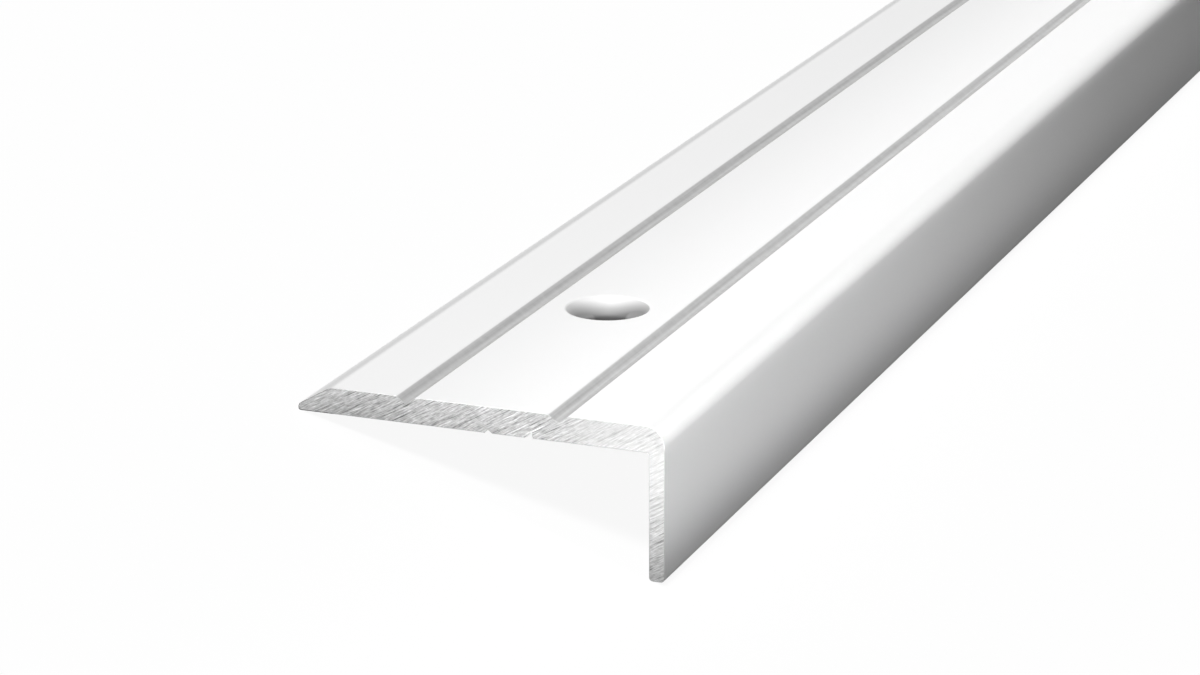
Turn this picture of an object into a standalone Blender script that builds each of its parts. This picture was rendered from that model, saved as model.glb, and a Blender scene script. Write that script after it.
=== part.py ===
"""Angle profile: a coated aluminium edge section for a stair or a step, sold by the length.

The section is drawn in its own frame: X runs across the tread from the thin rear edge (0) to the
front face, Z is up with 0 at the tread's surface, and the length runs along Y. The finished piece
is then turned about Y into the way it lies unheld on a level floor: on its rear edge and on the
foot of its front leg, with the walking surface up.
"""

import math

import bmesh
import bpy

# Stock length and overall section, metres
LENGTH = 1.000
WIDTH = 0.0245
HEIGHT = 0.010
TREAD_THICKNESS = 0.00172
LEG_THICKNESS = 0.00101

# Rear edge: a flat bevel that falls from the tread to a thin rounded nose
NOSE_HEIGHT = 0.00042
BEVEL_WIDTH = 0.00226
NOSE_RADIUS = 0.00032
NOSE_FOOT_RADIUS = 0.00015
BEVEL_TOP_RADIUS = 0.00100

# Front corner and the foot of the front leg
FRONT_RADIUS = 0.00130
INNER_RADIUS = 0.00010
FOOT_RADIUS = 0.00025

# Grooves in the tread that give the foot its grip
GROOVE_COUNT = 2
GROOVE_FIRST = 0.007395
GROOVE_SPACING = 0.01017
GROOVE_HALF_WIDTH = 0.000675
GROOVE_ANGLE = math.radians(38)
GROOVE_REAR_LIP_RADIUS = 0.00032
GROOVE_FRONT_LIP_RADIUS = 0.00008
GROOVE_BOTTOM_RADIUS = 0.00035

# Fine marking grooves on the underside, each from its rear edge to its front edge
MARK_REAR = 0.01266
MARK_WIDTH = 0.00050
MARK_DEPTH = 0.00021
MARK_LEAN = 0.5
SIDE_MARK_REAR = 0.01536
SIDE_MARK_WIDTH = 0.00053
SIDE_MARK_DEPTH = 0.00040
SIDE_MARK_LEAN = 0.75

# Countersunk screw holes along the middle of the tread
HOLE_ACROSS = 0.01220
HOLE_FROM_END = 0.022
HOLE_LARGEST_PITCH = 0.200
HOLE_DIAMETER = 0.0035
SINK_DIAMETER = 0.0057
SINK_ANGLE = math.radians(90)
HOLE_SEGMENTS = 40

# Drawing and cutting
ARC_STEP = math.radians(10)
SIDE_SHARE = 0.49
CUT_MARGIN = 0.001
WELD_DISTANCE = 0.000001
SHARP_ANGLE = math.radians(30)

# White coating
COAT_COLOUR = (0.88, 0.88, 0.88, 1.0)
COAT_ROUGHNESS = 0.42
COAT_METALLIC = 0.0


def clear_scene():
    for old in list(bpy.data.objects):
        bpy.data.objects.remove(old, do_unlink=True)


def new_collection(name):
    collection = bpy.data.collections.new(name)
    bpy.context.scene.collection.children.link(collection)
    return collection


def coat_material():
    material = bpy.data.materials.new("white_coat")
    material.use_nodes = True
    shader = material.node_tree.nodes["Principled BSDF"]
    shader.inputs["Base Color"].default_value = COAT_COLOUR
    shader.inputs["Roughness"].default_value = COAT_ROUGHNESS
    shader.inputs["Metallic"].default_value = COAT_METALLIC
    return material


def groove_corners(across):
    """A V groove with a soft rear lip, a round bottom and a crisp front lip."""
    depth = GROOVE_HALF_WIDTH * math.tan(GROOVE_ANGLE)
    return [
        (across - GROOVE_HALF_WIDTH, 0.0, GROOVE_REAR_LIP_RADIUS),
        (across, -depth, GROOVE_BOTTOM_RADIUS),
        (across + GROOVE_HALF_WIDTH, 0.0, GROOVE_FRONT_LIP_RADIUS),
    ]


def mark_corners(rear, width, depth, lean):
    """A fine V in the underside, listed from its front edge to its rear edge."""
    return [
        (rear + width, -TREAD_THICKNESS, 0.0),
        (rear + width * lean, depth - TREAD_THICKNESS, 0.0),
        (rear, -TREAD_THICKNESS, 0.0),
    ]


def section_corners():
    """Sharp corners of the section with the radius of each, from the nose over the tread."""
    corners = [
        (0.0, -TREAD_THICKNESS, NOSE_FOOT_RADIUS),
        (0.0, NOSE_HEIGHT - TREAD_THICKNESS, NOSE_RADIUS),
        (BEVEL_WIDTH, 0.0, BEVEL_TOP_RADIUS),
    ]
    for index in range(GROOVE_COUNT):
        corners += groove_corners(GROOVE_FIRST + index * GROOVE_SPACING)
    corners += [
        (WIDTH, 0.0, FRONT_RADIUS),
        (WIDTH, -HEIGHT, FOOT_RADIUS),
        (WIDTH - LEG_THICKNESS, -HEIGHT, FOOT_RADIUS),
        (WIDTH - LEG_THICKNESS, -TREAD_THICKNESS, INNER_RADIUS),
    ]
    corners += mark_corners(SIDE_MARK_REAR, SIDE_MARK_WIDTH, SIDE_MARK_DEPTH, SIDE_MARK_LEAN)
    corners += mark_corners(MARK_REAR, MARK_WIDTH, MARK_DEPTH, MARK_LEAN)
    return corners


def rounded_outline(corners):
    """Replace each corner by an arc that is tangent to both of its sides.

    An arc takes at most its share of a side, which leaves room for the next corner's arc.
    """
    outline = []
    for index, (x, z, radius) in enumerate(corners):
        before = corners[index - 1]
        after = corners[(index + 1) % len(corners)]
        back = (before[0] - x, before[1] - z)
        ahead = (after[0] - x, after[1] - z)
        back_length = math.hypot(*back)
        ahead_length = math.hypot(*ahead)
        back = (back[0] / back_length, back[1] / back_length)
        ahead = (ahead[0] / ahead_length, ahead[1] / ahead_length)
        between = math.acos(max(-1.0, min(1.0, back[0] * ahead[0] + back[1] * ahead[1])))
        turn = math.pi - between
        reach = min(radius * math.tan(turn / 2), back_length * SIDE_SHARE, ahead_length * SIDE_SHARE)
        if reach < WELD_DISTANCE:
            outline.append((x, z))
            continue
        radius = reach / math.tan(turn / 2)
        middle = (back[0] + ahead[0], back[1] + ahead[1])
        middle_length = math.hypot(*middle)
        to_centre = radius / math.sin(between / 2)
        centre_x = x + middle[0] / middle_length * to_centre
        centre_z = z + middle[1] / middle_length * to_centre
        start = math.atan2(z + back[1] * reach - centre_z, x + back[0] * reach - centre_x)
        side = 1.0 if back[0] * ahead[1] - back[1] * ahead[0] < 0 else -1.0
        steps = max(2, math.ceil(turn / ARC_STEP))
        for step in range(steps + 1):
            angle = start + side * turn * step / steps
            outline.append((centre_x + radius * math.cos(angle), centre_z + radius * math.sin(angle)))
    return outline


def resting_tilt(outline):
    """Angle about the length at which the nose and the foot of the leg touch a level floor.

    The lowest points of both are found at the last tilt, and a few passes settle them.
    """
    rear = [point for point in outline if point[0] < WIDTH / 2]
    foot = [point for point in outline if point[0] > WIDTH / 2]
    tilt = 0.0
    for _ in range(3):
        low_rear = min(rear, key=lambda point: point[1] * math.cos(tilt) + point[0] * math.sin(tilt))
        low_foot = min(foot, key=lambda point: point[1] * math.cos(tilt) + point[0] * math.sin(tilt))
        tilt = math.atan2(low_rear[1] - low_foot[1], low_foot[0] - low_rear[0])
    return tilt


def resting_place(outline, tilt):
    """Where the section's own origin goes, to centre the turned piece and set it on the floor."""
    across = [x * math.cos(tilt) - z * math.sin(tilt) for x, z in outline]
    up = [x * math.sin(tilt) + z * math.cos(tilt) for x, z in outline]
    return (-(min(across) + max(across)) / 2, 0.0, -min(up))


def extruded_section(name, outline, collection):
    """The flat outline as a filled 2D curve, extruded along Y, then made one welded mesh."""
    curve = bpy.data.curves.new(name + "_outline", "CURVE")
    curve.dimensions = "2D"
    curve.fill_mode = "BOTH"
    curve.extrude = LENGTH / 2
    spline = curve.splines.new("POLY")
    spline.points.add(len(outline) - 1)
    for point, (x, z) in zip(spline.points, outline):
        point.co = (x, z, 0.0, 1.0)
    spline.use_cyclic_u = True
    drawn = bpy.data.objects.new(name + "_outline", curve)
    drawn.rotation_euler = (math.pi / 2, 0.0, 0.0)
    collection.objects.link(drawn)
    bpy.context.view_layer.update()

    evaluated = drawn.evaluated_get(bpy.context.evaluated_depsgraph_get())
    mesh = bpy.data.meshes.new_from_object(evaluated)
    mesh.name = name
    mesh.transform(drawn.matrix_world)
    welder = bmesh.new()
    welder.from_mesh(mesh)
    bmesh.ops.remove_doubles(welder, verts=welder.verts, dist=WELD_DISTANCE)
    bmesh.ops.recalc_face_normals(welder, faces=welder.faces)
    welder.to_mesh(mesh)
    welder.free()
    bpy.data.objects.remove(drawn, do_unlink=True)

    piece = bpy.data.objects.new(name, mesh)
    collection.objects.link(piece)
    return piece


def hole_stations():
    """Holes at a fixed distance from both ends, evenly spaced and never further than the pitch."""
    run = LENGTH - 2 * HOLE_FROM_END
    gaps = max(1, math.ceil(run / HOLE_LARGEST_PITCH))
    return [run * (index / gaps - 0.5) for index in range(gaps + 1)]


def screw_hole_cutter(stations, collection):
    """A countersunk screw's hole as a turned cutter, repeated along the length.

    Its profile runs down the outer side: the cone from above the tread, then the straight hole.
    """
    slope = math.tan(SINK_ANGLE / 2)
    hole_radius = HOLE_DIAMETER / 2
    sink_radius = SINK_DIAMETER / 2
    top = CUT_MARGIN
    cone_end = -(sink_radius - hole_radius) / slope
    bottom = -TREAD_THICKNESS - CUT_MARGIN
    profile = [
        (0.0, top),
        (sink_radius + CUT_MARGIN * slope, top),
        (hole_radius, cone_end),
        (hole_radius, bottom),
        (0.0, bottom),
    ]
    mesh = bpy.data.meshes.new("screw_hole_cutter")
    points = [(radius, 0.0, height) for radius, height in profile]
    edges = [(index, index + 1) for index in range(len(points) - 1)]
    mesh.from_pydata(points, edges, [])
    cutter = bpy.data.objects.new("screw_hole_cutter", mesh)
    cutter.location = (HOLE_ACROSS, stations[0], 0.0)
    cutter.hide_render = True
    cutter.display_type = "WIRE"
    collection.objects.link(cutter)

    turn = cutter.modifiers.new("turn", "SCREW")
    turn.axis = "Z"
    turn.steps = HOLE_SEGMENTS
    turn.render_steps = HOLE_SEGMENTS
    turn.use_merge_vertices = True
    turn.merge_threshold = WELD_DISTANCE

    row = cutter.modifiers.new("row", "ARRAY")
    row.count = len(stations)
    row.use_relative_offset = False
    row.use_constant_offset = True
    row.constant_offset_displace = (0.0, stations[1] - stations[0], 0.0)
    return cutter


def cut(piece, cutter):
    boolean = piece.modifiers.new(cutter.name, "BOOLEAN")
    boolean.operation = "DIFFERENCE"
    boolean.solver = "EXACT"
    boolean.object = cutter


def build():
    clear_scene()
    parts = new_collection("angle_profile")
    cutters = new_collection("cutters")
    outline = rounded_outline(section_corners())

    profile = extruded_section("angle_profile", outline, parts)
    profile.data.materials.append(coat_material())
    profile.data.shade_smooth()
    profile.data.set_sharp_from_angle(angle=SHARP_ANGLE)

    holes = screw_hole_cutter(hole_stations(), cutters)
    holes.parent = profile
    cut(profile, holes)

    tilt = resting_tilt(outline)
    profile.rotation_euler = (0.0, -tilt, 0.0)
    profile.location = resting_place(outline, tilt)


build()
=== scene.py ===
import math

import bmesh
import bpy
import numpy as np
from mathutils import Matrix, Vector


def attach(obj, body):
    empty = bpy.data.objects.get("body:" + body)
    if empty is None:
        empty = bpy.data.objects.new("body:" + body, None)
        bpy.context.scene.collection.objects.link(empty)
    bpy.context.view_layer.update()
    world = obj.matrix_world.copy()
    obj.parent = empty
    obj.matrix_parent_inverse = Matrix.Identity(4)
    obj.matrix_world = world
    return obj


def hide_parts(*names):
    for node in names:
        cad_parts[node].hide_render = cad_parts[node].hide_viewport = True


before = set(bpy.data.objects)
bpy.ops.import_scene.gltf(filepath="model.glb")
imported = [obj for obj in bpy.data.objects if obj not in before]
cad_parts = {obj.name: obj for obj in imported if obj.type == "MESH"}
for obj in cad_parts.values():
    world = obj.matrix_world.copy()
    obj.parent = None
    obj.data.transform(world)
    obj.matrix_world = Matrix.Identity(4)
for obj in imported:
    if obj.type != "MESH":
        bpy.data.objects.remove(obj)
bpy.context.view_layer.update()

# Sizes of the part, in metres
MM = 0.001
LENGTH = 1.0
WIDTH, HEIGHT = 24.5 * MM, 10.0 * MM
TREAD_THICKNESS, LEG_THICKNESS = 1.72 * MM, 1.01 * MM

NOSE_HEIGHT, BEVEL_WIDTH = 0.42 * MM, 2.26 * MM
NOSE_RADIUS, NOSE_FOOT_RADIUS, BEVEL_TOP_RADIUS = 0.32 * MM, 0.15 * MM, 1.0 * MM
FRONT_RADIUS, INNER_RADIUS, FOOT_RADIUS = 1.3 * MM, 0.1 * MM, 0.25 * MM

GROOVES = [7.395 * MM, 17.565 * MM]
GROOVE_HALF_WIDTH, GROOVE_SLOPE = 0.675 * MM, math.radians(38)
GROOVE_DEPTH = GROOVE_HALF_WIDTH * math.tan(GROOVE_SLOPE)
GROOVE_REAR_LIP, GROOVE_BOTTOM, GROOVE_FRONT_LIP = 0.32 * MM, 0.35 * MM, 0.08 * MM

# Fine marks in the underside: rear edge, width, depth, and the tip's place as a share of the width
MARK = (12.66 * MM, 0.50 * MM, 0.21 * MM, 0.5)
SIDE_MARK = (15.36 * MM, 0.53 * MM, 0.40 * MM, 0.75)

HOLE_ACROSS = 12.2 * MM
HOLES = 6
HOLE_FROM_END = 22.0 * MM
HOLE_RADIUS, SINK_RADIUS = 1.75 * MM, 2.85 * MM
SINK_LIP_RADIUS, SINK_THROAT_RADIUS = 0.22 * MM, 0.35 * MM

COAT_THICKNESS = 0.04 * MM

# The way the length lies on the floor: turned about its length, then moved
REST_TURN = math.radians(19.353814747546494)
REST_PLACE = (-13.417543169630065 * MM, 0.0, 1.5815598138434594 * MM)

# How finely the shapes are drawn
ARC_STEPS = 14
HOLE_STEPS = 48
LIP_STEPS = 8
HOLE_ZONE = 5.0 * MM
CLEAR_OF_MARK = math.radians(2.5)
ARC_REACH = 0.49
TOUCH = 1e-9
WELD = 2e-7
SHARP_ANGLE = math.radians(32)


def mark_corners(rear, width, depth, lean):
    """A fine V in the underside, from its front edge over its tip to its rear edge."""
    under = -TREAD_THICKNESS
    tip = (rear + width * lean, under + depth, 0.0)
    return [(rear + width, under, 0.0), tip, (rear, under, 0.0)]


def hole_angles():
    """Half a turn of angles, with those at which the hole crosses the mark groove's corners.

    The mark's corners lie at x, so their angles are arccos((x - hole centre) / hole radius).
    """
    even = np.linspace(0.0, math.pi, HOLE_STEPS // 2 + 1)
    across = np.array([x for x, _, _ in mark_corners(*MARK)])
    at_mark = np.arccos((across - HOLE_ACROSS) / HOLE_RADIUS)
    clear = np.min(np.abs(even[:, None] - at_mark[None, :]), axis=1) > CLEAR_OF_MARK
    clear[[0, -1]] = True
    return np.sort(np.concatenate([even[clear], at_mark]))


def underside_height(across):
    """Height of the underside: level, raised in straight lines over the mark groove."""
    corners = np.array(mark_corners(*MARK))[::-1]
    return np.interp(across, corners[:, 0], corners[:, 1])


def section_corners(angles, rim_radius):
    """Corners (x, z, radius) of the section, from the nose's foot over the tread and the leg.

    The points x = hole centre -+ radius cos(angle) stand in the two rows where the holes open.
    """
    top_row = HOLE_ACROSS - rim_radius * np.cos(angles)
    under_row = HOLE_ACROSS + HOLE_RADIUS * np.cos(angles)
    corners = [
        (0.0, -TREAD_THICKNESS, NOSE_FOOT_RADIUS),
        (0.0, NOSE_HEIGHT - TREAD_THICKNESS, NOSE_RADIUS),
        (BEVEL_WIDTH, 0.0, BEVEL_TOP_RADIUS),
    ]
    for number, across in enumerate(GROOVES):
        corners += [
            (across - GROOVE_HALF_WIDTH, 0.0, GROOVE_REAR_LIP),
            (across, -GROOVE_DEPTH, GROOVE_BOTTOM),
            (across + GROOVE_HALF_WIDTH, 0.0, GROOVE_FRONT_LIP),
        ]
        if number == 0:
            corners += [(x, 0.0, 0.0) for x in top_row]
    corners += [
        (WIDTH, 0.0, FRONT_RADIUS),
        (WIDTH, -HEIGHT, FOOT_RADIUS),
        (WIDTH - LEG_THICKNESS, -HEIGHT, FOOT_RADIUS),
        (WIDTH - LEG_THICKNESS, -TREAD_THICKNESS, INNER_RADIUS),
    ]
    corners += mark_corners(*SIDE_MARK)
    corners += [(x, z, 0.0) for x, z in zip(under_row, underside_height(under_row))]
    return np.array(corners)


def rounded(corners):
    """Every corner becomes an arc tangent to both of its sides.

    With the turn t at a corner, the arc of radius r starts r tan(t/2) before it, and its points are
    centre + r (cos, sin) of evenly spaced angles. It takes less than half of a side, and a corner
    of radius 0 gives one point.
    """
    spot, radius = corners[:, :2], corners[:, 2]
    back, ahead = np.roll(spot, 1, axis=0) - spot, np.roll(spot, -1, axis=0) - spot
    back_length, ahead_length = np.linalg.norm(back, axis=1), np.linalg.norm(ahead, axis=1)
    back, ahead = back / back_length[:, None], ahead / ahead_length[:, None]
    between = np.arccos(np.clip(np.sum(back * ahead, axis=1), -1.0, 1.0))
    turn = math.pi - between
    most = ARC_REACH * np.minimum(back_length, ahead_length)
    reach = np.minimum(radius * np.tan(turn / 2), most)
    round_one = reach > TOUCH
    radius = np.where(round_one, reach / np.where(round_one, np.tan(turn / 2), 1.0), 0.0)
    middle = back + ahead
    middle /= np.maximum(np.linalg.norm(middle, axis=1), TOUCH)[:, None]
    centre = spot + middle * (radius / np.sin(between / 2))[:, None]
    first = spot + back * reach[:, None] - centre
    start = np.arctan2(first[:, 1], first[:, 0])
    side = np.where(back[:, 0] * ahead[:, 1] - back[:, 1] * ahead[:, 0] < 0, 1.0, -1.0)
    angle = start[:, None] + (side * turn)[:, None] * np.linspace(0.0, 1.0, ARC_STEPS + 1)
    spoke = np.stack([np.cos(angle), np.sin(angle)], axis=-1)
    arcs = centre[:, None, :] + radius[:, None, None] * spoke
    arcs = np.where(round_one[:, None, None], arcs, spot[:, None, :])
    keep = np.ones(arcs.shape[:2], bool)
    keep[~round_one, 1:] = False
    return arcs[keep]


def inset(outline, depth):
    """The outline moved inwards: each point goes depth / cos along its two sides' mean normal."""
    side = np.roll(outline, -1, axis=0) - outline
    side /= np.linalg.norm(side, axis=1)[:, None]
    normal = np.stack([side[:, 1], -side[:, 0]], axis=-1)
    before = np.roll(normal, 1, axis=0)
    middle = normal + before
    middle /= np.linalg.norm(middle, axis=1)[:, None]
    stretch = np.clip(np.sum(middle * normal, axis=1), 0.5, 1.0)
    return outline + middle * (depth / stretch)[:, None]


def hole_profile():
    """Radius and height down the hole: lip arc, 45 degree cone, throat arc, straight bore."""
    tangent = math.tan(math.radians(22.5))
    lip = SINK_LIP_RADIUS
    angle = np.linspace(0.0, math.pi / 4, LIP_STEPS + 1)
    lip_radius = SINK_RADIUS + lip * tangent - lip * np.sin(angle)
    lip_height = -lip * (1.0 - np.cos(angle))
    throat = SINK_THROAT_RADIUS
    cone_end = SINK_RADIUS - HOLE_RADIUS
    turn = angle[::-1]
    throat_radius = HOLE_RADIUS + throat * (1.0 - np.cos(turn))
    throat_height = -cone_end - throat * tangent + throat * np.sin(turn)
    radius = np.concatenate([lip_radius, throat_radius, [HOLE_RADIUS]])
    height = np.concatenate([lip_height, throat_height, [-TREAD_THICKNESS]])
    return radius, height


def grid_faces(rows, columns, skip=()):
    """Corner numbers of the quads between a grid's neighbouring rows, whose ends join up."""
    row = np.array([number for number in range(rows - 1) if number not in skip])
    column = np.arange(columns)
    here = row[:, None] * columns + column[None, :]
    right = row[:, None] * columns + (column[None, :] + 1) % columns
    return np.stack([here, right, right + columns, here + columns], axis=-1).reshape(-1, 4)


def profile_skin(outline, hole_places, slack):
    """The section carried along Y, with a row on each side of every hole.

    A point at height z and across x in a row at y is (x, y, z). In the two middle rows of a hole,
    the points over it are moved by -slack and +slack, which opens the hole between them.
    """
    rows, skip = [np.full(len(outline), -LENGTH / 2)], []
    for place in hole_places:
        flat = np.zeros(len(outline))
        rows += [place - HOLE_ZONE + flat, place - slack, place + slack, place + HOLE_ZONE + flat]
        skip.append(len(rows) - 3)
    rows.append(np.full(len(outline), LENGTH / 2))
    along = np.array(rows)
    across = np.broadcast_to(outline[:, 0], along.shape)
    up = np.broadcast_to(outline[:, 1], along.shape)
    points = np.stack([across, along, up], axis=-1).reshape(-1, 3)
    return points, grid_faces(len(rows), len(outline), skip)


def hole_wall(place, angles):
    """One hole's wall: its profile turned about Z, with the last ring laid on the underside."""
    turn = np.concatenate([angles, -angles[1:-1][::-1]])
    radius, height = hole_profile()
    across = HOLE_ACROSS + radius[:, None] * np.cos(turn)
    along = place + radius[:, None] * np.sin(turn)
    up = np.broadcast_to(height[:, None], across.shape).copy()
    up[-1] = underside_height(across[-1])
    points = np.stack([across, along, up], axis=-1).reshape(-1, 3)
    return points, grid_faces(len(radius), len(turn))


def coat_edge(outline, place):
    """The cut edge of the coat on a sawn end: a thin band between the outline and its inset."""
    both = np.concatenate([outline, inset(outline, COAT_THICKNESS)])
    points = np.stack([both[:, 0], np.full(len(both), place), both[:, 1]], axis=-1)
    return points, grid_faces(2, len(outline))


def rest_points(points):
    """From the section's own frame to the way it lies: x cos - z sin, x sin + z cos, then moved."""
    cos, sin = math.cos(REST_TURN), math.sin(REST_TURN)
    x, y, z = points.T
    return np.stack([x * cos - z * sin, y, x * sin + z * cos], axis=-1) + np.array(REST_PLACE)


def half_chord(across, radius):
    """Half the hole's length at each place across it: the root of radius^2 - distance^2."""
    return np.sqrt(radius**2 - (across - HOLE_ACROSS) ** 2)


def profile_mesh(name):
    """Skin, hole walls, coat edges and sawn faces, joined into one closed mesh."""
    angles = hole_angles()
    rim = hole_profile()[0][0]
    outline = rounded(section_corners(angles, rim))
    across, up = outline.T
    half = np.zeros(len(outline))
    on_top = (np.abs(up) < TOUCH) & (np.abs(across - HOLE_ACROSS) < rim)
    half[on_top] = half_chord(across[on_top], rim)
    under = up < -TREAD_THICKNESS + MARK[2] + TOUCH
    under &= np.abs(across - HOLE_ACROSS) < HOLE_RADIUS
    half[under] = half_chord(across[under], HOLE_RADIUS)

    run = LENGTH - 2 * HOLE_FROM_END
    hole_places = np.linspace(-run / 2, run / 2, HOLES)
    shells = [profile_skin(outline, hole_places, half)]
    shells += [hole_wall(place, angles) for place in hole_places]
    shells += [coat_edge(outline, place) for place in (-LENGTH / 2, LENGTH / 2)]
    points, faces, start = [], [], 0
    for shell_points, shell_faces in shells:
        points.append(shell_points)
        faces.append(shell_faces + start)
        start += len(shell_points)
    coated = sum(len(shell_faces) for shell_faces in faces)
    count = len(outline)
    sawn = [range(start - count, start), range(start - 3 * count, start - 2 * count)]
    points = rest_points(np.concatenate(points))
    faces = np.concatenate(faces).tolist() + [list(face) for face in sawn]

    mesh = bpy.data.meshes.new(name)
    mesh.from_pydata(points.tolist(), [], faces)
    slots = np.zeros(len(faces), np.int32)
    slots[coated:] = 1
    mesh.polygons.foreach_set("material_index", slots)
    joined = bmesh.new()
    joined.from_mesh(mesh)
    bmesh.ops.remove_doubles(joined, verts=joined.verts, dist=WELD)
    bmesh.ops.recalc_face_normals(joined, faces=joined.faces)
    joined.to_mesh(mesh)
    joined.free()
    mesh.shade_smooth()
    mesh.set_sharp_from_angle(angle=SHARP_ANGLE)
    return mesh


class Wire:
    """An output of a node. Sums on it, in either order, add their Math nodes."""

    def __init__(self, recipe, socket):
        self.recipe, self.socket = recipe, socket

    def sum(self, operation, *terms):
        return self.recipe.add("ShaderNodeMath", {"operation": operation}, dict(enumerate(terms)))

    def __add__(self, other):
        return self.sum("ADD", self, other)

    def __radd__(self, other):
        return self.sum("ADD", other, self)

    def __sub__(self, other):
        return self.sum("SUBTRACT", self, other)

    def __rsub__(self, other):
        return self.sum("SUBTRACT", other, self)

    def __mul__(self, other):
        return self.sum("MULTIPLY", self, other)

    def __rmul__(self, other):
        return self.sum("MULTIPLY", other, self)

    def __truediv__(self, other):
        return self.sum("DIVIDE", self, other)

    def __rtruediv__(self, other):
        return self.sum("DIVIDE", other, self)

    def __pow__(self, other):
        return self.sum("POWER", self, other)

    def __abs__(self):
        return self.sum("ABSOLUTE", self)


class Recipe:
    """The node tree of a material, a lamp or the world, cleared, with one way to add any node."""

    def __init__(self, owner):
        owner.use_nodes = True
        self.owner, self.tree = owner, owner.node_tree
        self.tree.nodes.clear()

    def add(self, kind, settings=None, inputs=None, output=0):
        """Adds a node: its settings first, a ramp's stops among them, then values or links."""
        node = self.tree.nodes.new(kind)
        for name, value in (settings or {}).items():
            if name == "stops":
                self.fill_ramp(node.color_ramp, value)
            else:
                setattr(node, name, value)
        for name, value in (inputs or {}).items():
            if isinstance(value, Wire):
                self.tree.links.new(value.socket, node.inputs[name])
            else:
                node.inputs[name].default_value = value
        return Wire(self, node.outputs[output]) if len(node.outputs) else node

    @staticmethod
    def fill_ramp(ramp, stops):
        while len(ramp.elements) < len(stops):
            ramp.elements.new(1.0)
        for element, (place, level) in zip(ramp.elements, stops):
            element.position, element.color = place, grey(level)

    def ramp(self, value, stops):
        """Straight lines from stop to stop, each a place and the level there."""
        return self.add("ShaderNodeValToRGB", {"stops": stops}, {0: value})

    def band(self, value, low, high, start=0.0, end=1.0):
        """Smoothly from start to end while the value goes from low to high."""
        settings = {"interpolation_type": "SMOOTHSTEP"}
        inputs = {"Value": value, "From Min": low, "From Max": high, "To Min": start, "To Max": end}
        return self.add("ShaderNodeMapRange", settings, inputs)

    def noise(self, place, scale, detail, roughness):
        inputs = {"Vector": place, "Scale": scale, "Detail": detail, "Roughness": roughness}
        return self.add("ShaderNodeTexNoise", {}, inputs)

    def vector(self, x, y, z):
        return self.add("ShaderNodeCombineXYZ", {}, {"X": x, "Y": y, "Z": z})

    def split(self, place):
        """The three numbers of a vector."""
        node = self.add("ShaderNodeSeparateXYZ", {}, {"Vector": place}).socket.node
        return [Wire(self, socket) for socket in node.outputs]

    def even_grey(self, level):
        return self.add("ShaderNodeCombineColor", {}, {0: level, 1: level, 2: level})

    def section_place(self):
        """Place in the section's own frame: undoes the turn and the move of the rest position."""
        here = self.add("ShaderNodeTexCoord", {}, {}, "Object")
        inputs = {"Vector": here, "Location": REST_PLACE, "Rotation": (0.0, -REST_TURN, 0.0)}
        return self.add("ShaderNodeMapping", {"vector_type": "TEXTURE"}, inputs)

    def finish(self, surface):
        ends = {bpy.types.World: "World", bpy.types.Material: "Material", bpy.types.Light: "Light"}
        end = next(word for kind, word in ends.items() if isinstance(self.owner, kind))
        self.add("ShaderNodeOutput" + end, {}, {"Surface": surface})
        return self.owner


def grey(level):
    return (level, level, level, 1.0)


# The satin white coat, and its noises: repeats per metre, detail and roughness
COAT_WHITE, COAT_IOR, DRIFT_SHARE = 0.88, 1.5, 0.012
GRAIN, PEEL, DRIFT = (1600.0, 2.0, 0.6), (700.0, 1.0, 0.5), (28.0, 2.0, 0.5)
DRAWN_ACROSS, DRAWN_ALONG, DRAWN = 9000.0, 130.0, (1.0, 1.0, 0.5)
PEEL_STRENGTH, PEEL_HEIGHT, PEEL_GRAIN = 0.25, 0.004 * MM, 0.3
COAT_ROUGHNESS, GRAIN_ROUGHNESS, GROOVE_ROUGHNESS, HOLE_ROUGHNESS = 0.42, 0.06, 0.3, 0.5

# Share of white on the bevel, darkened by painted shade, and at the nose, lightened by painted
# light, and where across the section each sets in
BEVEL_SHADE_SHARE, BEVEL_EDGE = 0.9, (2.5 * MM, 2.15 * MM)
NOSE_LIGHT_SHARE, NOSE_EDGE = 1.13, (1.4 * MM, 0.2 * MM)

# Place across a groove, 0 at its rear lip and 1 at its front lip, and the share of white that the
# painted shade leaves there
GROOVE_SHADE_SHARES = [
    (0.0, 1.0), (0.06, 0.63), (0.11, 0.59), (0.16, 0.56), (0.22, 0.515), (0.26, 0.515),
    (0.30, 0.56), (0.35, 0.615), (0.40, 0.59), (0.44, 0.54), (0.50, 0.49), (0.93, 0.50),
    (1.0, 1.0)]
BELOW_GROOVES = (-0.8 * MM, -1.0 * MM)
# How dark the painted groove shade is, and how much the grain and drawn noises vary it
GROOVE_SHADE_GREY, GROOVE_SHADE_GRAIN, GROOVE_SHADE_DRAWN = 0.65, 0.3, 0.4

# Depth down a screw hole, as a share of HOLE_DEPTH, and the share of white that the painted shade
# leaves there
HOLE_DEPTH, HOLE_LIP, HOLE_RIM = 1.4 * MM, 0.1 * MM, 0.05 * MM
HOLE_SHADE_SHARES = [
    (0.0, 1.0), (0.24, 1.0), (0.386, 0.77), (0.564, 0.53), (0.743, 0.35), (0.85, 0.24), (1.0, 0.16)]
# The painted shade sets in sooner on the holes' sides and front
HOLE_SIDE_DEPTH, HOLE_SIDE_TURN = 0.43 * MM, math.radians(15)
HOLE_SIDE_SHARE, HOLE_SIDE_RANGE = 0.31, (0.12, 0.45)
HOLE_FRONT_DEPTH, HOLE_FRONT_START = 0.15 * MM, 0.7

# How much the coat's cut edge on the sawn ends is greyed round the bevel and round the leg
CUT_EDGE, LEG_EDGE = 0.02 * MM, (-1.2 * MM, -1.65 * MM)
BEVEL_CUT_GREY, LEG_CUT_GREY = 0.6, 0.55


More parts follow.
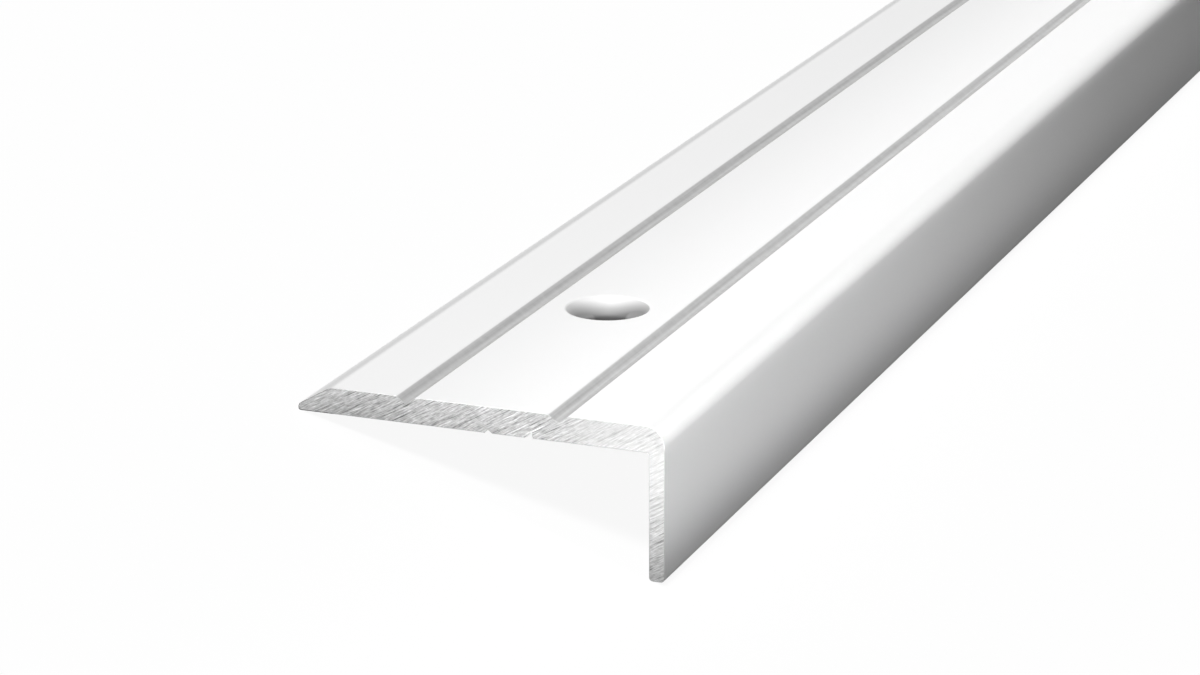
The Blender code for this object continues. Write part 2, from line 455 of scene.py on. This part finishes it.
def groove_shade_share(recipe, across, up):
    """Painted shade in the anti-slip grooves, darkest on the rear wall's lower half."""
    share = 1.0
    for centre in GROOVES:
        rear, front = centre - GROOVE_HALF_WIDTH, centre + GROOVE_HALF_WIDTH
        inputs = {"Value": across, "From Min": rear, "From Max": front}
        inside = recipe.add("ShaderNodeMapRange", {}, inputs)
        share = recipe.ramp(inside, GROOVE_SHADE_SHARES) * share
    return share.sum("MAXIMUM", share, recipe.band(up, *BELOW_GROOVES))


def hole_shade_share(recipe, across, along, up):
    """Painted shade down each countersink, darker with depth, sooner on its two sides, and most on
    the front one.
    """
    pitch = (LENGTH - 2 * HOLE_FROM_END) / (HOLES - 1)
    inputs = {0: along + pitch / 2, 1: pitch / 2, 2: -pitch / 2}
    lengthwise = recipe.add("ShaderNodeMath", {"operation": "WRAP"}, inputs)
    crosswise = across - HOLE_ACROSS
    # The small last term keeps the distance above nought on the hole's axis
    apart = (crosswise * crosswise + lengthwise * lengthwise + 0.01 * MM * MM) ** 0.5
    cos, sin = math.cos(HOLE_SIDE_TURN), math.sin(HOLE_SIDE_TURN)
    sideways = (crosswise * cos + lengthwise * sin) / apart
    aside = sideways * sideways
    to_front = crosswise / apart + HOLE_FRONT_START
    sooner = aside * HOLE_SIDE_DEPTH + to_front * HOLE_FRONT_DEPTH
    depth = sooner * recipe.band(up, 0.0, -HOLE_LIP) - up
    share = recipe.ramp(depth / HOLE_DEPTH, HOLE_SHADE_SHARES)
    on_sides = recipe.band(aside, *HOLE_SIDE_RANGE, 0.0, HOLE_SIDE_SHARE)
    outside = recipe.band(apart, SINK_RADIUS, SINK_RADIUS + HOLE_RIM)
    return share.sum("MAXIMUM", share.sum("MAXIMUM", share, on_sides), outside)


def white_coat():
    """Satin white coat, with painted shade in the grooves, on the bevel and down the holes, and
    painted light on the nose.
    """
    recipe = Recipe(bpy.data.materials.new("white_coat_satin"))
    place = recipe.section_place()
    across, along, up = recipe.split(place)
    # Mask of the painted shade in the grooves
    groove_shade_mask = 1.0 - groove_shade_share(recipe, across, up)
    # Mask of the painted shade down the holes
    hole_shade_mask = 1.0 - hole_shade_share(recipe, across, along, up)
    fine = recipe.noise(place, *GRAIN)
    peel = recipe.noise(place, *PEEL)
    drift = recipe.noise(place, *DRIFT)
    lines = recipe.vector(across * DRAWN_ACROSS, along * DRAWN_ALONG, up * DRAWN_ACROSS)
    drawn = recipe.noise(lines, *DRAWN)

    # Painted shade down the holes, by the share of white left in them
    white = COAT_WHITE * (1.0 - DRIFT_SHARE / 2 + drift * DRIFT_SHARE) * (1.0 - hole_shade_mask)
    # Painted shade in the grooves, varied by grain and drawn noise
    white = white * (1.0 - groove_shade_mask * (GROOVE_SHADE_GREY + fine * GROOVE_SHADE_GRAIN + drawn * GROOVE_SHADE_DRAWN))
    # Painted shade on the bevel, then painted light on the nose
    white = white * recipe.band(across, *BEVEL_EDGE, 1.0, BEVEL_SHADE_SHARE)
    white = white * recipe.band(across, *NOSE_EDGE, 1.0, NOSE_LIGHT_SHARE)
    on_cut = recipe.band(abs(along), LENGTH / 2 - CUT_EDGE, LENGTH / 2)
    on_bevel, on_leg = recipe.band(across, *BEVEL_EDGE), recipe.band(up, *LEG_EDGE)
    white = white * (1.0 - on_cut * (on_bevel * BEVEL_CUT_GREY + on_leg * LEG_CUT_GREY))
    roughness = COAT_ROUGHNESS - GRAIN_ROUGHNESS / 2 + fine * GRAIN_ROUGHNESS
    roughness = roughness + groove_shade_mask * GROOVE_ROUGHNESS + hole_shade_mask * HOLE_ROUGHNESS
    height = peel + fine * PEEL_GRAIN
    bump = {"Strength": PEEL_STRENGTH, "Distance": PEEL_HEIGHT, "Height": height}
    inputs = {
        "Base Color": recipe.even_grey(white),
        "Roughness": roughness,
        "Metallic": 0.0,
        "IOR": COAT_IOR,
        "Normal": recipe.add("ShaderNodeBump", {}, bump),
    }
    return recipe.finish(recipe.add("ShaderNodeBsdfPrincipled", {}, inputs))


# The saw: the slope of its marks, its blade's radius, and the place where they have that slope
SAW_SLOPE, SAW_RADIUS, SAW_PLACE = math.radians(30), 0.30, (14.0 * MM, -1.0 * MM)
# Its marks per metre along the teeth's arcs, across them and into the metal, and their noises
STREAKS, SCRATCHES, MARKS_INTO = (1100.0, 13000.0), (320.0, 8500.0), 50.0
SCRATCH_SHIFT = 7.0
STREAK_NOISE, SCRATCH_NOISE, PATCH_NOISE = (1.0, 2.5, 0.75), (1.0, 0.0, 0.5), (3000.0, 2.0, 0.6)
DARK_SCRATCH, LIGHT_SCRATCH = (0.36, 0.28), (0.64, 0.74)
STREAK_SHARE, PATCH_SHARE, DARK_SHARE, LIGHT_SHARE = 1.45, 0.3, 0.2, 0.14
# The marks fade towards the front of the tread and come back down the leg
FADE, FADED_TO = (15.0 * MM, 21.0 * MM), 0.45
RETURN, RETURNED_TO = (-3.5 * MM, -7.0 * MM), 0.9
RUBBED, RUBBED_SHARE = (3.0 * MM, 0.0), 0.07
# A burr torn out of the marking groove lies along one tooth's arc
BURR_START = (SIDE_MARK[0] + SIDE_MARK[1] * 0.6, -TREAD_THICKNESS + 0.35 * MM)
BURR_WIDTH, BURR_SHARE = (0.055 * MM, 0.02 * MM), 0.25
BURR_REAR, BURR_FRONT = (15.0 * MM, 15.4 * MM), (17.1 * MM, 16.3 * MM)
METAL_GREY, METALLIC, METAL_ROUGHNESS, STREAK_ROUGHNESS = 0.53, 0.85, 0.42, 0.12
MARK_STRENGTH, MARK_HEIGHT, SCRATCH_DEPTH = 0.3, 0.01 * MM, 0.6


def sawn_metal():
    """Sawn aluminium: streaks along the arcs that a saw blade's teeth leave.

    A place's distance from the blade's hub tells the arc it is on, and its angle about the hub
    times the blade's radius tells how far along the arc it is.
    """
    recipe = Recipe(bpy.data.materials.new("sawn_aluminium"))
    place = recipe.section_place()
    across, along, up = recipe.split(place)
    hub_across = SAW_PLACE[0] - SAW_RADIUS * math.sin(SAW_SLOPE)
    hub_up = SAW_PLACE[1] + SAW_RADIUS * math.cos(SAW_SLOPE)
    right, rise = across - hub_across, up - hub_up
    reach = (right * right + rise * rise) ** 0.5
    around = right.sum("ARCTAN2", rise, right) * SAW_RADIUS
    into = along * MARKS_INTO
    streak_place = recipe.vector(around * STREAKS[0], reach * STREAKS[1], into)
    scratch_place = recipe.vector(
        around * SCRATCHES[0], reach * SCRATCHES[1], into + SCRATCH_SHIFT)
    streak = recipe.noise(streak_place, *STREAK_NOISE)
    scratch = recipe.noise(scratch_place, *SCRATCH_NOISE)
    patch = recipe.noise(place, *PATCH_NOISE)
    dark = recipe.band(scratch, *DARK_SCRATCH)
    light = recipe.band(scratch, *LIGHT_SCRATCH)
    marks = (streak - 0.5) * STREAK_SHARE + (patch - 0.5) * PATCH_SHARE
    marks = marks - dark * DARK_SHARE + light * LIGHT_SHARE

    burr_reach = math.hypot(BURR_START[0] - hub_across, BURR_START[1] - hub_up)
    burr = recipe.band(abs(reach - burr_reach), *BURR_WIDTH)
    burr = burr * recipe.band(across, *BURR_REAR) * recipe.band(across, *BURR_FRONT)
    contrast = recipe.band(across, *FADE, 1.0, FADED_TO)
    contrast = contrast.sum("MAXIMUM", contrast, recipe.band(up, *RETURN, 0.0, RETURNED_TO))
    rubbed = recipe.band(across, *RUBBED, 0.0, RUBBED_SHARE)
    level = METAL_GREY + marks * contrast + rubbed + burr * BURR_SHARE
    height = streak - dark * SCRATCH_DEPTH
    bump = {"Strength": MARK_STRENGTH, "Distance": MARK_HEIGHT, "Height": height}
    inputs = {
        "Base Color": recipe.even_grey(level),
        "Roughness": METAL_ROUGHNESS + streak * STREAK_ROUGHNESS,
        "Metallic": METALLIC,
        "Normal": recipe.add("ShaderNodeBump", {}, bump),
    }
    return recipe.finish(recipe.add("ShaderNodeBsdfPrincipled", {}, inputs))


# The floor's own paleness, in the picture and to the room, and the share of plain white over it
FLOOR_HALF = 30.0
FLOOR_WHITE, FLOOR_TO_ROOM = 0.9, 0.18
FLOOR_TO_CAMERA, FLOOR_TO_GLOSS = 0.93, 0.2
WORLD_LEVEL, WORLD_TO_GLOSS = 0.01, 0.55
RAYS = ("Is Camera Ray", "Is Glossy Ray", "Is Transmission Ray")


def seen_white(recipe, to_camera, to_gloss):
    """Share of plain white that camera rays see, and that glossy and transmission rays see."""
    node = recipe.add("ShaderNodeLightPath").socket.node
    seen, glossy, through = [Wire(recipe, node.outputs[name]) for name in RAYS]
    return seen * to_camera + glossy.sum("MAXIMUM", glossy, through) * to_gloss


def floor():
    half = FLOOR_HALF
    corners = [(-half, -half, 0), (half, -half, 0), (half, half, 0), (-half, half, 0)]
    mesh = bpy.data.meshes.new("floor")
    mesh.from_pydata(corners, [], [(0, 1, 2, 3)])
    recipe = Recipe(bpy.data.materials.new("studio_floor"))
    seen = recipe.add("ShaderNodeLightPath", {}, {}, "Is Camera Ray")
    pale = seen * (FLOOR_WHITE - FLOOR_TO_ROOM) + FLOOR_TO_ROOM
    paper = recipe.add("ShaderNodeBsdfDiffuse", {}, {"Color": recipe.even_grey(pale)})
    white = recipe.add("ShaderNodeEmission", {}, {"Color": grey(1.0), "Strength": 1.0})
    share = seen_white(recipe, FLOOR_TO_CAMERA, FLOOR_TO_GLOSS)
    both = recipe.add("ShaderNodeMixShader", {}, {0: share, 1: paper, 2: white})
    mesh.materials.append(recipe.finish(both))
    piece = bpy.data.objects.new("floor", mesh)
    bpy.context.scene.collection.objects.link(piece)


def studio_world():
    world = bpy.data.worlds.new("studio")
    bpy.context.scene.world = world
    recipe = Recipe(world)
    share = seen_white(recipe, 1.0, WORLD_TO_GLOSS)
    inputs = {"Value": share, "To Min": WORLD_LEVEL, "To Max": 1.0}
    strength = recipe.add("ShaderNodeMapRange", {}, inputs)
    white = recipe.add("ShaderNodeBackground", {}, {"Color": grey(1.0), "Strength": strength})
    recipe.finish(white)


# Softboxes: name, place (m), aimed at (m), width and height (m), power (W)
SOFTBOXES = [
    ("key", (-1.18, -2.638, 3.688), (0.0, -0.45, 0.0), 1.0, 1.0, 226.0),
    ("back_left", (-1.4, 1.6, 0.9), (0.0, 0.1, 0.0), 0.6, 0.6, 1.5),
]

# How two of the strips are dimmed: place along the width, 0 to 1, and the level there
RIGHT_DIMMING = [
    (0.0, 1.0), (0.081, 1.0), (0.104, 0.8), (0.125, 0.63), (0.15, 0.4), (0.175, 0.21), (0.2, 0.12),
    (0.22, 0.12), (0.3, 0.6), (1.0, 0.6)]
FRONT_DIMMING = [
    (0.0, 1.0), (0.25, 1.0), (0.31, 0.46), (0.36, 0.2), (0.42, 0.43), (0.48, 0.45), (0.53, 0.1),
    (0.57, 0.23), (0.61, 0.58), (0.66, 0.57), (0.74, 0.4), (1.0, 0.3)]

# Strip lights behind a honeycomb: as the softboxes, then the spread (degrees) and the dimming
STRIPS = [
    ("right_strip", (0.5, 0.0, 0.0088), (0.0, 0.0, 0.0088), 1.2, 0.0138, 0.033, 1.054,
     RIGHT_DIMMING),
    ("edge_strip", (0.5, 0.0, 0.0091), (0.0, 0.0, 0.0091), 1.2, 0.001, 0.00135, 0.3),
    ("front_strip", (0.0, -1.0, 0.007), (0.0, -0.5, 0.007), 0.06, 0.006, 0.0038, 1.83,
     FRONT_DIMMING),
    ("top_strip", (-0.1593, 0.0, 0.4803), (0.0064, 0.0, 0.0085), 1.2, 0.016, 0.011, 2.29),
]


def soft_lamp(name, place, target, width, height, power, spread=180.0, dimming=None):
    """A rectangular lamp that faces its target, dimmed along its width by a ramp's stops."""
    data = bpy.data.lights.new(name, "AREA")
    data.shape = "RECTANGLE"
    data.size, data.size_y = width, height
    data.energy = power
    data.spread = math.radians(spread)
    if dimming:
        recipe = Recipe(data)
        on_lamp = recipe.add("ShaderNodeNewGeometry", {}, {}, "Parametric")
        level = recipe.ramp(recipe.split(on_lamp)[0], dimming)
        recipe.finish(recipe.add("ShaderNodeEmission", {}, {"Strength": level}))
    lamp = bpy.data.objects.new(name, data)
    bpy.context.scene.collection.objects.link(lamp)
    lamp.location = place
    lamp.rotation_euler = (Vector(target) - Vector(place)).to_track_quat("-Z", "Y").to_euler()
    lamp.visible_camera = False


# The camera: place (m), turn about X, Y and Z (degrees), sensor and lens (mm), reach (m)
CAMERA_PLACE, CAMERA_TURN = (0.0586377, -0.70886, 0.1070932), (65.27063, -17.71055, 22.63045)
CAMERA_SENSOR, CAMERA_LENS = 36.0, 117.07
CAMERA_NEAR, CAMERA_FAR = 0.02, 100.0


def camera():
    data = bpy.data.cameras.new("camera")
    data.sensor_width, data.lens = CAMERA_SENSOR, CAMERA_LENS
    data.clip_start, data.clip_end = CAMERA_NEAR, CAMERA_FAR
    piece = bpy.data.objects.new("camera", data)
    piece.location = CAMERA_PLACE
    piece.rotation_euler = [math.radians(turn) for turn in CAMERA_TURN]
    bpy.context.scene.collection.objects.link(piece)
    bpy.context.scene.camera = piece


camera()
floor()
studio_world()
for lamp_row in SOFTBOXES + STRIPS:
    soft_lamp(*lamp_row)

length = bpy.data.objects.new("coated_length", profile_mesh("coated_length"))
bpy.context.scene.collection.objects.link(length)
length.data.materials.append(white_coat())
length.data.materials.append(sawn_metal())
even = length.modifiers.new("even_shading", "WEIGHTED_NORMAL")
even.keep_sharp = True
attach(length, "root")
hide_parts("angle_profile")

bpy.context.scene.view_settings.view_transform = "Standard"
